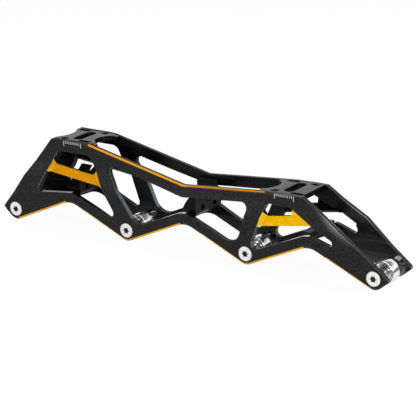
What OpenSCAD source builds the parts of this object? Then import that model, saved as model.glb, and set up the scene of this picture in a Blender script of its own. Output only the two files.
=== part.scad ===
// Four-wheel inline skate frame, shown without its wheels.
// Two bowed, windowed side walls are joined by a rear deck, a front deck and three cross bridges.
// Millimetres. +X points to the toe, +Y to the left side, +Z up. The bearing spacers touch Z = 0.

/* [Wheel line] */
// Distance between neighbouring axles
axle_pitch = 110; // [107:0.5:113]
// Radius of the largest wheel that the bridges leave room for
wheel_r = 50; // [46:0.5:50]
// Free space kept round that wheel
wheel_room = 1; // [0.5:0.25:1.5]
// Radius of the rounded lug under each axle
lug_r = 8.6; // [8.5:0.1:9.5]
// How far the walls run past the end axles
tip_l = 13.1; // [12.5:0.1:13.5]
// Slope of the underside beyond the end axles
tip_angle = 40; // [36:1:44]
// Slope of the wheel arches
arch_angle = 24; // [23:0.25:25]
// Rounding at the top of each wheel arch
arch_r = 15; // [10:0.5:18]

/* [Side walls] */
// Width over the walls at the decks and axles
frame_w = 40; // [39:0.25:43]
// Wall thickness
wall_t = 4; // [3.5:0.25:4.5]
// How far each wall bows out at its ridge
wall_bow = 2.8; // [2:0.1:3.5]
// Height of the ridge above the axles
ridge_h = 31.4; // [30:0.2:33]
// Height above the axles where the bow starts
bow_low_h = 14; // [13.5:0.25:16]
// Height above the axles where the bow ends
bow_top_h = 44.4; // [43:0.2:44.8]
// Height of the rail over the windows
rail_h = 9.2; // [8.5:0.1:10]
// Lowest point of the rail's top above the axles
dip_h = 45.6; // [45:0.2:47]
// Distance of that point behind the middle of the wheel line
dip_back = 1; // [-4:0.5:6]
// Width of the band over each wheel arch
band_w = 9; // [8.5:0.1:9.5]
// Width of the slanting front bar at the ridge
nose_w = 11.9; // [11:0.1:12.5]
// Slope of the front bar's lower edge
nose_low_angle = 28.8; // [28:0.2:30]
// Slope of the slanting front bar
nose_angle = 32.5; // [31.5:0.25:33]
// Rise of the undersides of the braces and of the front bar towards the inside
under_rise = 2.4; // [2:0.1:2.6]
// Extra thickness inside the walls behind the rear window
rear_pad_t = 2.7; // [2:0.1:2.9]
// Width of the bevel along the outer edges of the rail and of the underside
bevel_w = 1.2; // [0.6:0.1:1.4]

/* [Windows] */
// Lower rear corner of the rear window, ahead of the rear axle
rear_window_x = 22.6; // [21:0.2:24]
// Height of that corner above the axles
rear_window_h = 18.8; // [18:0.2:20]
// Slope of the rear window's rear edge
rear_edge_angle = 58.7; // [57:0.5:60]
// Slope of the rear window's lower rear edge
rear_sill_angle = 7; // [5:0.5:8]
// Rear pillar's rear edge at axle height, behind the second axle
pillar_rear_back = 5.8; // [5:0.2:7]
// Lean of that edge from level
pillar_rear_angle = 63.7; // [62:0.5:65]
// Rear pillar's front edge at axle height, ahead of the second axle
pillar_rear_front = 11; // [10.5:0.1:12]
// Lean of that edge from level
pillar_mid_angle = 60; // [59:0.5:61.5]
// Front pillar's rear edge at axle height, behind the third axle
pillar_front_back = 10.7; // [10:0.2:12]
// Lean of that edge from level
pillar_fore_angle = 69.7; // [68:0.5:71]
// Front pillar's front edge at axle height, ahead of the third axle
pillar_front_front = 0.8; // [0.4:0.1:2]
// Lean of that edge from level
pillar_front_angle = 66.5; // [65:0.5:68]
// Front end of the front window, behind the front axle
front_window_back = 34; // [33:0.25:35]
// Rounding of that end
front_end_r = 2.2; // [1.8:0.1:2.2]
// Slope of the front window's lower front edge
front_sill_angle = 18.5; // [17.5:0.25:20]

/* [Decks] */
// Distance between the two boot mounting points
mount_pitch = 195; // [193:0.5:197]
// Distance of their middle behind the middle of the wheel line
mount_back = 10.2; // [9:0.2:11]
// Height of the rear deck above the axles
rear_deck_h = 65; // [64:0.25:66]
// Height of the front deck above the axles
front_deck_h = 52.5; // [52:0.25:54]
// Deck thickness
deck_t = 4; // [3:0.25:4.5]
// Rear deck's rear edge, behind its mounting point
rear_deck_back = 18.3; // [17.5:0.1:19]
// Start of the falling rail, ahead of the rear mounting point
rear_deck_front = 17.7; // [16:0.2:19]
// End of the rising rail, behind the front mounting point
front_deck_back = 9.3; // [8:0.2:11]
// Front end of the walls' top, ahead of the front mounting point
front_deck_front = 17.5; // [16.5:0.1:18.5]
// Radius of the rounded ends of the wheel pockets
pocket_r = 13.5; // [12:0.25:14.5]
// Rear pocket's end, ahead of the rear mounting point
rear_pocket_x = 12.7; // [12:0.1:14]
// Front pocket's end, behind the front mounting point
front_pocket_x = 14.3; // [14:0.1:15]
// How far both decks run along the walls past their mounting points, beside the pockets
horn_x = 22; // [19:0.25:24]
// Front deck's front edge, ahead of its mounting point
front_edge_x = 15.5; // [15:0.1:16.5]
// Depth of the hollow in the rear deck's rear edge
scallop_d = 5; // [3:0.25:6]
// Width of that hollow
scallop_w = 27; // [24:0.5:28]

/* [Boot slots] */
// Width of the crosswise slot for the boot bolt
bolt_slot_w = 8.4; // [7:0.1:9]
// Length of that slot
bolt_slot_l = 25; // [22:0.25:25.5]
// Width of the small lengthwise slots
side_slot_w = 3.2; // [2.5:0.1:3.5]
// Length of the short ones
side_slot_short = 5.4; // [4.5:0.1:6.5]
// Length of the long ones
side_slot_long = 10; // [8:0.1:10]
// Their distance ahead of and behind the mounting point
side_slot_x = 9.6; // [9.5:0.1:9.8]
// Distance of their middles inside the outer faces of the walls
side_slot_in = 6.4; // [6.2:0.1:6.6]

/* [Bridges] */
// Front face of the rear and middle bridges, ahead of their arches
bridge_front = 9.7; // [9:0.1:10.5]
// Rear face of those bridges, behind their arches at the height of their feet
bridge_back = 4; // [3:0.1:5]
// Front face of the front bridge, ahead of its arch
fore_bridge_front = 1; // [0:0.1:2]
// Rear face of the front bridge, behind its arch at the height of its foot
fore_bridge_back = 7; // [6:0.1:8]
// Height of the feet above the axles
bridge_foot_h = 24.4; // [23.5:0.1:25]
// Underside of the bridges above the axles
bridge_low_h = 21; // [20:0.1:21.5]
// Forward lean of the rear faces
bridge_lean = 32; // [30:0.5:34]
// Top of the middle bridge above the axles
bridge_h = 36.4; // [35.5:0.1:36.4]
// Top of the rear bridge above the axles
rear_bridge_h = 47; // [46:0.25:48]
// How far its top runs on ahead of its front face
rear_bridge_fore = 10; // [8:0.25:11]
// Top of the front bridge above the axles
fore_bridge_h = 25.8; // [25.2:0.1:26]
// Diameter of the two holes through the rear and middle bridges
bridge_hole_d = 5; // [4:0.1:5.5]
// Their distance from the middle
bridge_hole_y = 8.5; // [8:0.1:9.5]
// Upper edge of the web that they pass through, below the top of the middle bridge
bridge_hole_drop = 3.8; // [3:0.1:4.6]
// Thickness of the rear bridge's arms at the top, beside its notch
notch_in = 1.5; // [1:0.1:2.5]
// Distance of the notches' bottoms below the top of the middle bridge
notch_drop = 8.5; // [7.5:0.1:9]
// Thickness of the middle bridge's shoulders, inside the upper rails
shoulder_t = 2.7; // [2.2:0.1:2.9]
// Reach of the shoulders behind the middle of the frame
shoulder_back = 10; // [8:0.25:10]
// Reach of the shoulders ahead of it
shoulder_front = 7; // [6:0.25:9]
// Height of the shoulders
shoulder_h = 5.8; // [5:0.1:6.5]

/* [Braces] */
// Height of a brace
brace_h = 7.7; // [7:0.1:8.2]
// Brace face, inside the width at the axles
brace_in = 0.2; // [0:0.1:0.8]
// Brace thickness
brace_t = 2.4; // [2.2:0.1:3]
// Length of the slope at each end of a brace
brace_slope = 3; // [2:0.25:4]
// Size of the fillets at the ends of a brace
brace_fillet = 4; // [3:0.25:4.5]
// Lower edge of the rear brace above the axles at the rear mounting point
rear_brace_h = 35.2; // [34.5:0.1:36]
// Slope of the rear brace, falling to the front
rear_brace_angle = 6.3; // [5.5:0.1:7]
// Lower edge of the front brace above the axles at the front mounting point
front_brace_h = 27.6; // [27:0.1:28.2]
// Slope of the front brace, rising to the front
front_brace_angle = 9.4; // [8.8:0.1:10]
// Upright edge of the front brace, ahead of the front mounting point
front_brace_x = 9.4; // [8.5:0.1:9.8]

/* [Axles] */
// Shaft diameter
axle_d = 8; // [7.8:0.05:8.2]
// Head diameter
head_d = 11.5; // [11:0.1:12]
// Head thickness
head_h = 3; // [2.75:0.05:3.1]
// How far the head stands out of the wall
head_proud = 0.5; // [0.4:0.05:0.8]
// Distance of the shaft's end inside the left wall's face
axle_end_in = 0.5; // [0.25:0.05:1]
// Size of the six-lobed socket
socket_d = 5.4; // [5:0.1:5.8]
// Depth of the socket
socket_h = 2; // [1.5:0.1:2.2]

/* [Bearing spacers] */
// Outside diameter
spacer_d = 18.4; // [17:0.1:19]
// Length
spacer_l = 10.3; // [9.5:0.1:11]
// Depth of the dish in each end
dish_h = 2.8; // [2:0.1:3.2]
// Diameter of the flat bottom of the dish
dish_d = 10.6; // [10:0.1:12]
// Resting place, right of the middle
spacer_right = 0.8; // [0:0.1:1.5]
// Width between the bosses that stand inside the walls
hub_gap = 24.4; // [24:0.1:25.5]
// Boss diameter at the wall
boss_d = 16.4; // [15.5:0.1:16.8]
// Boss diameter at its face
boss_face_d = 13; // [12.5:0.1:14]

/* [Clearances] */
// Radial gap between a shaft and its bores
run_gap = 0.05; // [0.02:0.01:0.08]
// Gap round and under an axle head
head_gap = 0.3; // [0.3:0.05:0.4]
// Gap between an axle head and its seat
seat_gap = 0.05; // [0.02:0.01:0.1]

/* [Hidden] */
$fn = 64;
half_w = frame_w / 2;
in_w = half_w - wall_t;
axle_z = max(lug_r, spacer_d / 2);
ridge_z = axle_z + ridge_h;
rear_z = axle_z + rear_deck_h;
front_z = axle_z + front_deck_h;
rear_x = -mount_back - mount_pitch / 2;
front_x = -mount_back + mount_pitch / 2;
arch_x = [-axle_pitch, 0, axle_pitch];
bridge_z = axle_z + bridge_foot_h;
far_l = 4 * axle_pitch;
arc_step = 10;
bevel_cos = 0.8;
bevel_sin = 0.6;

// Place of axle i, counted from the rear
function axle_x(i) = (i - 1.5) * axle_pitch;
function axle(i) = [axle_x(i), axle_z];

// Lines in the side view: a point and a direction
function ray(p, a) = [p, [cos(a), sin(a)]];
function shifted(l, n) = [l[0] + n * [-l[1].y, l[1].x], l[1]];
function meet(l, m) =
    let (w = m[0] - l[0], d = l[1], e = m[1])
    l[0] + d * (w.x * e.y - w.y * e.x) / (d.x * e.y - d.y * e.x);
function level(z) = ray([0, z], 0);
function upright(x) = ray([x, 0], 90);

// Outline with each corner [point, radius] rounded by an arc, to a hundredth of a millimetre
function corner(a, b, c, r) =
    let (u = (a - b) / norm(a - b), v = (c - b) / norm(c - b), h = acos(u * v) / 2)
    let (m = b + (u + v) / norm(u + v) * r / sin(h))
    let (s = b + u * r / tan(h) - m, e = b + v * r / tan(h) - m)
    let (a0 = atan2(s.y, s.x), sweep = (atan2(e.y, e.x) - a0 + 540) % 360 - 180)
    let (n = ceil(abs(sweep) / arc_step))
    [for (i = [0:n]) m + r * [cos(a0 + sweep * i / n), sin(a0 + sweep * i / n)]];
function rounded(path) =
    let (n = len(path))
    [for (i = [0:n - 1]) each [for (p = path[i][1] == 0 ? [path[i][0]]
        : corner(path[(i + n - 1) % n][0], path[i][0], path[(i + 1) % n][0], path[i][1]))
        [round(p.x * 100) / 100, round(p.y * 100) / 100]]];

// Underside: lines that touch the lugs, and the arches between them
function under(i, a) = ray(axle(i) + lug_r * [sin(a), -cos(a)], a);
function lug(i) = [meet(under(i, i == 0 ? -tip_angle : -arch_angle), under(i, i == 3 ? tip_angle : arch_angle)), lug_r];
function arch(i) = [meet(under(i, arch_angle), under(i + 1, -arch_angle)), arch_r];
rear_tip = meet(under(0, -tip_angle), upright(axle_x(0) - tip_l));
front_tip = meet(under(3, tip_angle), upright(axle_x(3) + tip_l));
underside = [[rear_tip, 1.5], lug(0), arch(0), lug(1), arch(1), lug(2), arch(2), lug(3), [front_tip, 1.5]];

// Top side, from front to rear
rail_rear = [rear_x + rear_deck_front, rear_z];
rail_dip = [-dip_back, axle_z + dip_h];
rail_front = [front_x - front_deck_back, front_z];
front_top = [front_x + front_deck_front, front_z];
rear_top = [rear_x - rear_deck_back, rear_z];
nose = ray(front_top, -nose_angle);
topside = [[meet(nose, level(ridge_z)), 6], [front_top, 2], [rail_front, 4], [rail_dip, 4], [rail_rear, 4],
    [rear_top, 2]];
outline = rounded(concat(underside, topside));

// Window edges run clockwise, with the window on their right
rear_corner = axle(0) + [rear_window_x, rear_window_h];
rear_left = ray(rear_corner, rear_edge_angle);
rear_right = ray(axle(1) - [pillar_rear_back, 0], -pillar_rear_angle);
rear_sill = ray(rear_corner, rear_sill_angle + 180);
mid_left = ray(axle(1) + [pillar_rear_front, 0], 180 - pillar_mid_angle);
mid_right = ray(axle(2) - [pillar_front_back, 0], 180 + pillar_fore_angle);
front_left = ray(axle(2) + [pillar_front_front, 0], pillar_front_angle);
front_right = ray(meet(shifted(nose, -nose_w), level(ridge_z)), -nose_low_angle);
front_end = upright(axle_x(3) - front_window_back);
front_under = shifted(front_right, nose_w / 2);
front_stop = shifted(front_end, 0.65 * front_end_r);
front_low = ray([front_x, axle_z + front_brace_h], front_brace_angle);
front_sill = ray(meet(band(3, -arch_angle), band(2, arch_angle)), -front_sill_angle);
rail_back = [rail_rear - [0, rail_h], rail_dip - rail_rear];
rail_fore = [rail_dip - [0, rail_h], rail_front - rail_dip];
function band(i, a) = shifted(under(i, a), band_w);

rear_window = rounded([
    [rear_corner, 2.5],
    [meet(rear_left, level(rear_z - rail_h)), 3],
    [meet(level(rear_z - rail_h), rear_right), 7],
    [meet(rear_right, band(1, -arch_angle)), 4],
    [meet(band(1, -arch_angle), rear_sill), 10]]);
mid_window = rounded([
    [meet(band(1, arch_angle), mid_left), 12],
    [meet(mid_left, rail_back), 4.5],
    [rail_dip - [0, rail_h], 10],
    [meet(rail_fore, mid_right), 5],
    [meet(mid_right, band(2, -arch_angle)), 10],
    [meet(band(2, -arch_angle), band(1, arch_angle)), arch_r]]);
front_window = rounded([
    [meet(band(2, arch_angle), front_left), 4],
    [meet(front_left, level(front_z - rail_h)), 4],
    [meet(level(front_z - rail_h), front_right), 4],
    [meet(front_right, front_end), front_end_r],
    [meet(front_end, front_sill), front_end_r],
    [meet(front_sill, band(2, arch_angle)), arch_r]]);

// Half width of a wall's face at depth d below its outer face, from the bottom up
function face(d) = [[half_w - d, -far_l], [half_w - d, axle_z + bow_low_h], [half_w + wall_bow - d, ridge_z],
    [half_w - d, axle_z + bow_top_h], [half_w - d, far_l]];
function reversed(v) = [for (i = [len(v) - 1:-1:0]) v[i]];

// A side-view outline carried across from y0 to y1
module across(points, y0, y1) {
    translate([0, y1, 0])
        rotate([90, 0, 0])
            linear_extrude(height = y1 - y0)
                polygon(points);
}

// An end-view outline carried along the frame
module along(points) {
    rotate([90, 0, 90])
        linear_extrude(height = far_l, center = true)
            polygon(points);
}

// Right-hand skin from depth d0 to depth d1
module skin(d0, d1) {
    along([for (p = concat(face(d0), reversed(face(d1)))) [-p.x, p.y]]);
}

// Everything between the walls
module cavity() {
    along(concat(face(wall_t), [for (p = reversed(face(wall_t))) [-p.x, p.y]]));
}

// Outline that moves inwards past the start of the bevel on the right wall
module slanted(points, side) {
    k = half_w - bevel_w;
    rotate([asin(bevel_sin) * side, 0, 0])
        linear_extrude(height = far_l, center = true)
            polygon([for (p = points) [p.x, side * bevel_sin * p.y - bevel_cos * k]]);
}

// Everything over a face that rises inwards from line l, which lies y right of the middle
module over_face(l, y, run) {
    translate([l[0].x, -y, l[0].y])
        rotate([0, -atan2(l[1].y, l[1].x), 0])
            rotate([atan2(under_rise, run), 0, 0])
                translate([-far_l / 2, -far_l / 2, 0])
                    cube(far_l);
}

// Shapes standing on axle i, drawn along it from the middle to the right
module at_axle(i) {
    translate([axle_x(i), 0, axle_z])
        rotate([90, 0, 0])
            children();
}

// Right wall without its bores
module wall_blank() {
    low = rounded(underside);
    difference() {
        intersection() {
            skin(0, wall_t);
            across(outline, -frame_w, 0);
            slanted(concat([[-far_l, low[0].y]], low, [[far_l, low[0].y], [far_l, far_l], [-far_l, far_l]]), 1);
            slanted([
                meet(upright(-far_l), ray(rail_rear, atan2(rail_dip.y - rail_rear.y, rail_dip.x - rail_rear.x))),
                rail_dip,
                meet(upright(far_l), ray(rail_dip, atan2(rail_front.y - rail_dip.y, rail_front.x - rail_dip.x))),
                [far_l, -far_l],
                [-far_l, -far_l]], -1);
        }
        across(rear_window, -frame_w, 0);
        across(mid_window, -frame_w, 0);
        across(front_window, -frame_w, 0);
        difference() {
            across([meet(front_low, front_right), meet(front_low, front_under), meet(front_stop, front_under),
                meet(front_stop, front_right)], -frame_w, 0);
            over_face(front_right, half_w + wall_bow / 2, wall_t);
        }
    }
    intersection() {
        skin(wall_t, wall_t + rear_pad_t);
        across(outline, -frame_w, 0);
        across([rear_corner, meet(rear_left, level(rear_z - deck_t)), [-far_l, rear_z - deck_t],
            [-far_l, rear_corner.y]], -frame_w, 0);
    }
    for (i = [0:3])
        at_axle(i)
            translate([0, 0, hub_gap / 2])
                cylinder(d1 = boss_face_d, d2 = boss_d, h = in_w - hub_gap / 2);
}

module right_side_wall() {
    color("dimgray")
        difference() {
            wall_blank();
            for (i = [0:3])
                at_axle(i) {
                    cylinder(r = axle_d / 2 + run_gap, h = frame_w);
                    translate([0, 0, half_w + head_proud - head_h - seat_gap])
                        cylinder(r = head_d / 2 + head_gap, h = frame_w);
                }
        }
}

module left_side_wall() {
    color("dimgray")
        difference() {
            mirror([0, 1, 0])
                wall_blank();
            for (i = [0:3])
                at_axle(i)
                    mirror([0, 0, 1])
                        cylinder(r = axle_d / 2 + run_gap, h = frame_w);
        }
}

// Slot with round ends through a deck, lying along X unless turned
module slot(l, w, x, y, turn) {
    translate([x, y, 0])
        rotate([0, 0, turn]) {
            translate([w / 2 - l / 2, -w / 2, 0])
                cube([l - w, w, far_l]);
            for (s = [-1, 1])
                translate([s * (l - w) / 2, 0, 0])
                    cylinder(d = w, h = far_l);
        }
}

// The boot bolt's slot and the four small ones beside it
module boot_slots(x) {
    slot(bolt_slot_l, bolt_slot_w, x, 0, 90);
    for (s = [-1, 1]) {
        slot(side_slot_short, side_slot_w, x + s * side_slot_x, s * (half_w - side_slot_in), 0);
        slot(side_slot_long, side_slot_w, x + s * side_slot_x, -s * (half_w - side_slot_in), 0);
    }
}

// Deck between the walls, with its top at height z, from x0 to x1
module deck(z, x0, x1) {
    intersection() {
        across(outline, -in_w, in_w);
        translate([x0, -in_w, z - deck_t])
            cube([x1 - x0, 2 * in_w, 2 * deck_t]);
    }
}

module rear_mount_deck() {
    pocket_x = rear_x + rear_pocket_x + pocket_r;
    scallop_r = (scallop_w * scallop_w / 4 + scallop_d * scallop_d) / 2 / scallop_d;
    color("gray")
        difference() {
            deck(rear_z, rear_x - 2 * rear_deck_back, rear_x + horn_x);
            boot_slots(rear_x);
            translate([pocket_x, 0, 0])
                cylinder(r = pocket_r, h = far_l);
            translate([pocket_x, -pocket_r, 0])
                cube([far_l, 2 * pocket_r, far_l]);
            translate([rear_top.x + scallop_d - scallop_r, 0, 0])
                cylinder(r = scallop_r, h = far_l);
        }
}

module front_mount_deck() {
    pocket_x = front_x - front_pocket_x - pocket_r;
    color("gray")
        difference() {
            deck(front_z, front_x - horn_x, front_x + front_edge_x);
            boot_slots(front_x);
            translate([pocket_x, 0, 0])
                cylinder(r = pocket_r, h = far_l);
            translate([pocket_x - far_l, -pocket_r, 0])
                cube([far_l, 2 * pocket_r, far_l]);
        }
}

// Bridge over arch i between the walls, up to height h above the axles, its top running on by fore
module bridge(i, back, front, h, fore) {
    x = arch_x[i];
    top_z = axle_z + h;
    rear_face = ray([x - back, bridge_z], 90 - bridge_lean);
    difference() {
        intersection() {
            cavity();
            across(concat(
                [meet(rear_face, level(axle_z + bridge_low_h)), meet(rear_face, level(top_z))],
                fore > 0 ? [[x + front + fore, top_z]] : [],
                [[x + front, axle_z + min(h, bridge_h)], [x + front, axle_z + bridge_low_h]]), -frame_w, frame_w);
        }
        for (k = [i, i + 1])
            at_axle(k)
                cylinder(r = wheel_r + wheel_room, h = 2 * frame_w, center = true);
    }
}

// Two holes midway up the web of bridge i and a notch, whose arms are w thick at height h above the axles
module bridge_relief(i, h, w) {
    hole_h = (bridge_low_h + bridge_h - bridge_hole_drop) / 2;
    for (s = [-1, 1])
        translate([arch_x[i], s * bridge_hole_y, axle_z + hole_h])
            rotate([0, 90, 0])
                cylinder(d = bridge_hole_d, h = axle_pitch / 2, center = true);
    translate([arch_x[i], 0, 0])
        rotate([90, 0, 90])
            linear_extrude(height = axle_pitch / 2, center = true)
                polygon([[0, axle_z + bridge_h - notch_drop], [in_w - w, axle_z + h], [in_w - w, 2 * rear_z],
                    [w - in_w, 2 * rear_z], [w - in_w, axle_z + h]]);
}

// Shoulder on top of the middle bridge's right arm, against the rail
module shoulder() {
    z = axle_z + bridge_h;
    intersection() {
        cavity();
        across([[-shoulder_back, z - 0.4], [shoulder_front, z - 0.4], [shoulder_front, z + shoulder_h],
            [-shoulder_back, z + shoulder_h]], -frame_w, shoulder_t - in_w);
    }
}

// The rear bridge stops at the braces that pass outside it
module rear_bridge() {
    color("dimgray")
        difference() {
            bridge(0, bridge_back, bridge_front, rear_bridge_h, rear_bridge_fore);
            bridge_relief(0, rear_bridge_h, notch_in);
            rear_brace();
            mirror([0, 1, 0])
                rear_brace();
        }
}

module middle_bridge() {
    color("dimgray")
        difference() {
            union() {
                bridge(1, bridge_back, bridge_front, bridge_h, 0);
                shoulder();
                mirror([0, 1, 0])
                    shoulder();
            }
            bridge_relief(1, bridge_h, shoulder_t);
        }
}

module front_bridge() {
    color("dimgray")
        bridge(2, fore_bridge_back, fore_bridge_front, fore_bridge_h, 0);
}

// Slope at the end of a brace, along a window edge of the right wall
module end_slope(edge) {
    y = half_w - brace_in;
    rise = (half_w + wall_bow - y) / brace_slope;
    a = atan2(edge[1].y, edge[1].x);
    translate([edge[0].x, 0, edge[0].y])
        rotate([0, 90 - a, 0])
            linear_extrude(height = far_l, center = true)
                polygon([[brace_slope + 1 / rise, 1 - y], [-5, -y - (brace_slope + 5) * rise], [-5, 1 - y]]);
}

// Brace that fills a window of the right wall inside the given outline, sloping up to the wall at both ends
module brace(window, path, edges, low) {
    y = half_w - brace_in;
    intersection() {
        across(window, -frame_w, 0);
        over_face(low, y, brace_t);
        across(path, -frame_w, 0);
        along([for (p = concat(face(0), [[y - brace_t, far_l], [y - brace_t, -far_l]])) [-p.x, p.y]]);
        union() {
            translate([-far_l / 2, -y, 0])
                cube([far_l, brace_t, far_l]);
            end_slope(edges[0]);
            end_slope(edges[1]);
        }
    }
}

module rear_brace() {
    low = ray([rear_x, axle_z + rear_brace_h], -rear_brace_angle);
    top = shifted(low, brace_h);
    over = shifted(top, brace_fillet);
    out = 10;
    brace(rear_window, rounded([
        [meet(shifted(rear_left, out), low), 0],
        [meet(shifted(rear_right, out), low), 0],
        [meet(shifted(rear_right, out), over), 0],
        [meet(rear_right, over), 0],
        [meet(shifted(rear_right, -brace_fillet), top), brace_fillet],
        [meet(shifted(rear_left, -brace_fillet), top), brace_fillet],
        [meet(rear_left, over), 0],
        [meet(shifted(rear_left, out), over), 0]]), [rear_left, rear_right], low);
}

module front_brace() {
    low = front_low;
    top = shifted(low, brace_h);
    over = shifted(top, brace_fillet);
    side = upright(front_x + front_brace_x);
    out = 10;
    brace(front_window, rounded([
        [meet(shifted(front_left, out), low), 0],
        [meet(shifted(front_right, out), low), 0],
        [meet(shifted(front_right, out), level(front_z)), 0],
        [meet(side, level(front_z)), 0],
        [meet(side, top), brace_fillet / 2],
        [meet(shifted(front_left, -brace_fillet), top), brace_fillet],
        [meet(front_left, over), 0],
        [meet(shifted(front_left, out), over), 0]]), [front_left, front_right], low);
}

module right_rear_brace() {
    color("gold")
        rear_brace();
}

module right_front_brace() {
    color("gold")
        front_brace();
}

module left_rear_brace() {
    color("gold")
        mirror([0, 1, 0])
            rear_brace();
}

module left_front_brace() {
    color("gold")
        mirror([0, 1, 0])
            front_brace();
}

// Axle bolt with a dished head and a six-lobed socket, its head to the right
module axle_bolt(i) {
    top = half_w + head_proud;
    seat = top - head_h;
    end = axle_end_in - half_w;
    r = axle_d / 2;
    color("silver")
        at_axle(i)
            difference() {
                rotate_extrude()
                    polygon([[0, end], [r - 0.6, end], [r, end + 0.6], [r, seat], [head_d / 2, seat],
                        [head_d / 2, top - 0.6], [head_d / 2 - 0.6, top], [r, top], [r - 0.3, top - 0.3],
                        [0, top - 0.3]]);
                translate([0, 0, top - socket_h])
                    cylinder(d = socket_d * 0.72, h = head_h);
                for (a = [0:60:300])
                    rotate([0, 0, a])
                        translate([socket_d * 0.37, 0, top - socket_h])
                            cylinder(d = socket_d * 0.26, h = head_h);
            }
}

module axle_1() {
    axle_bolt(0);
}

module axle_2() {
    axle_bolt(1);
}

module axle_3() {
    axle_bolt(2);
}

module axle_4() {
    axle_bolt(3);
}

// Turned bearing spacer with dished ends, free on its axle
module spacer(i) {
    r0 = axle_d / 2 + run_gap;
    r1 = spacer_d / 2;
    h = spacer_l / 2;
    color("silver")
        at_axle(i)
            translate([0, 0, spacer_right])
                rotate_extrude()
                    polygon([[r0, dish_h - h], [dish_d / 2, dish_h - h], [r1 - 1.2, -h], [r1 - 0.6, -h], [r1, 0.6 - h],
                        [r1, h - 0.6], [r1 - 0.6, h], [r1 - 1.2, h], [dish_d / 2, h - dish_h], [r0, h - dish_h]]);
}

module bearing_spacer_1() {
    spacer(0);
}

module bearing_spacer_2() {
    spacer(1);
}

module bearing_spacer_3() {
    spacer(2);
}

module bearing_spacer_4() {
    spacer(3);
}

right_side_wall();
left_side_wall();
rear_mount_deck();
front_mount_deck();
rear_bridge();
middle_bridge();
front_bridge();
right_rear_brace();
right_front_brace();
left_rear_brace();
left_front_brace();
axle_1();
axle_2();
axle_3();
axle_4();
bearing_spacer_1();
bearing_spacer_2();
bearing_spacer_3();
bearing_spacer_4();
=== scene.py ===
"""Looks of a four-wheel inline skate frame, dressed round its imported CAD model."""

import math

import bmesh
import bpy
from bpy.props import FloatProperty, FloatVectorProperty, IntProperty, PointerProperty
from mathutils import Matrix, Quaternion, Vector


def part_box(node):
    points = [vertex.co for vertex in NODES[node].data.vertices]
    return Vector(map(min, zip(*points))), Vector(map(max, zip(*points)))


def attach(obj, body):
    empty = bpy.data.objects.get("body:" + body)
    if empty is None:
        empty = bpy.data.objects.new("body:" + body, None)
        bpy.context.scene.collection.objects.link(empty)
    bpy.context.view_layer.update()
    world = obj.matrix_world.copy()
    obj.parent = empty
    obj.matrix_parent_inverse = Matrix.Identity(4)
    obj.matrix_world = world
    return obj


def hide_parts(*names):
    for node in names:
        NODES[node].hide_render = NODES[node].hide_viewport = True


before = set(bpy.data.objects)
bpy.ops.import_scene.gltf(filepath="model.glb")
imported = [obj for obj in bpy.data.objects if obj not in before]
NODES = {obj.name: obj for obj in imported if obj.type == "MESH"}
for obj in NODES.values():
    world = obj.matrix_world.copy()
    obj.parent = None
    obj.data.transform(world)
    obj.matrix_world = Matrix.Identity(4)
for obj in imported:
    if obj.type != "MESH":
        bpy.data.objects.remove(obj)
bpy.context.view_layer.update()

bl_info = {
    "name": "Inline skate frame",
    "version": (1, 0, 0),
    "blender": (4, 5, 0),
    "location": "View3D > Sidebar > Skate frame",
    "description": "Finishes, printed scales and studio for a four-wheel inline skate frame",
    "category": "Object",
}

PHOTO_SIDE = 416
MM = 0.001

# The frame: x runs forwards, y to the left and z up, and its middle is at x = y = 0.
AXLE_PITCH = 110 * MM
AXLE_HEIGHT = 9.2 * MM
WALL_INSIDE = 16.05 * MM
WALL_OUTSIDE = 20 * MM
BOSS_FACE = 16 * MM
BOSS_RADIUS = 8.6 * MM
HEEL_END = (-95 * MM, -50 * MM)
NOSE_START = (100 * MM, 145 * MM)
RAIL_BEND = (-4 * MM, 6 * MM)

# How far a normal has to turn for each kind of face.
FACE_TURN = (0.3, 0.6)
BEVEL_TURN = 0.35
BRACE_TURN = 0.25
CUT_TURN = 0.2
RIM_DOWN_TURN = -0.3
EDGE_TURN = (0.02, 0.22)
BEVEL_SAMPLES = 6

# Gold on the bevels.
GILT_Y = 17 * MM
GILT_UPPER_Y = (19.75 * MM, 19.55 * MM)
GILT_LOWER_Y = 20.1 * MM
GILT_RAIL = (-90.5 * MM, 72 * MM)
GILT_UNDER = (-163 * MM, 163 * MM)
BARE_CREST = (49 * MM, 68 * MM)

# Painted highlights: on the window edges, rims, sills and the bend to the nose.
REVEAL_TOP = (37 * MM, 46 * MM)
REVEAL_REAR = (-115 * MM, -105 * MM)
STRIP_WIDTH = 1.1 * MM
STRIP_OUTER_Y = (18.5 * MM, 19.2 * MM)
SILL_Y = 17.5 * MM
SILL_LEAN = (-0.6, 0.05)
SILL_TOP = 36 * MM
SILL_RISE = (22 * MM, 29 * MM)
NOSE_PATCH = (131.8 * MM, 0, 46.1 * MM)
NOSE_PATCH_FALL = math.radians(40)
NOSE_PATCH_REACH = (26 * MM, 60 * MM, 7.5 * MM)

# Axle bolts, measured from the outer end of the head.
HEAD_HEIGHT = 4.2 * MM
SOCKET_DEPTH = (0.5 * MM, 4 * MM)
SOCKET_RADIUS = 2.8 * MM
RING_PITCH = 0.45 * MM
THREAD_LENGTH = 9 * MM
THREAD_PITCH = 1.0 * MM

# Small slots at the sides of the decks, from the middle of each boot slot.
SLOT_X = (-107.7 * MM, 87.3 * MM)
SIDE_SLOT_X = 9.6 * MM
SIDE_SLOT_Y = 13.6 * MM
SHORT_SLOT = 1.1 * MM
LONG_SLOT = 3.4 * MM
SIDE_SLOT_RIM = 2.5 * MM

# Spacers: bore, dish (radius and depth), lip (width and chamfer) and rounding of the rims.
SPACER_BORE = 4.05 * MM
SPACER_DISH = (5.3 * MM, 2.8 * MM)
SPACER_LIP = (1.2 * MM, 0.6 * MM)
SPACER_ROUND = 0.22 * MM
SPACER_STEPS = 96
SPACER_WELD = 0.001 * MM
RIM_ANGLE = math.radians(20)
SHARP_ANGLE = math.radians(30)

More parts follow.
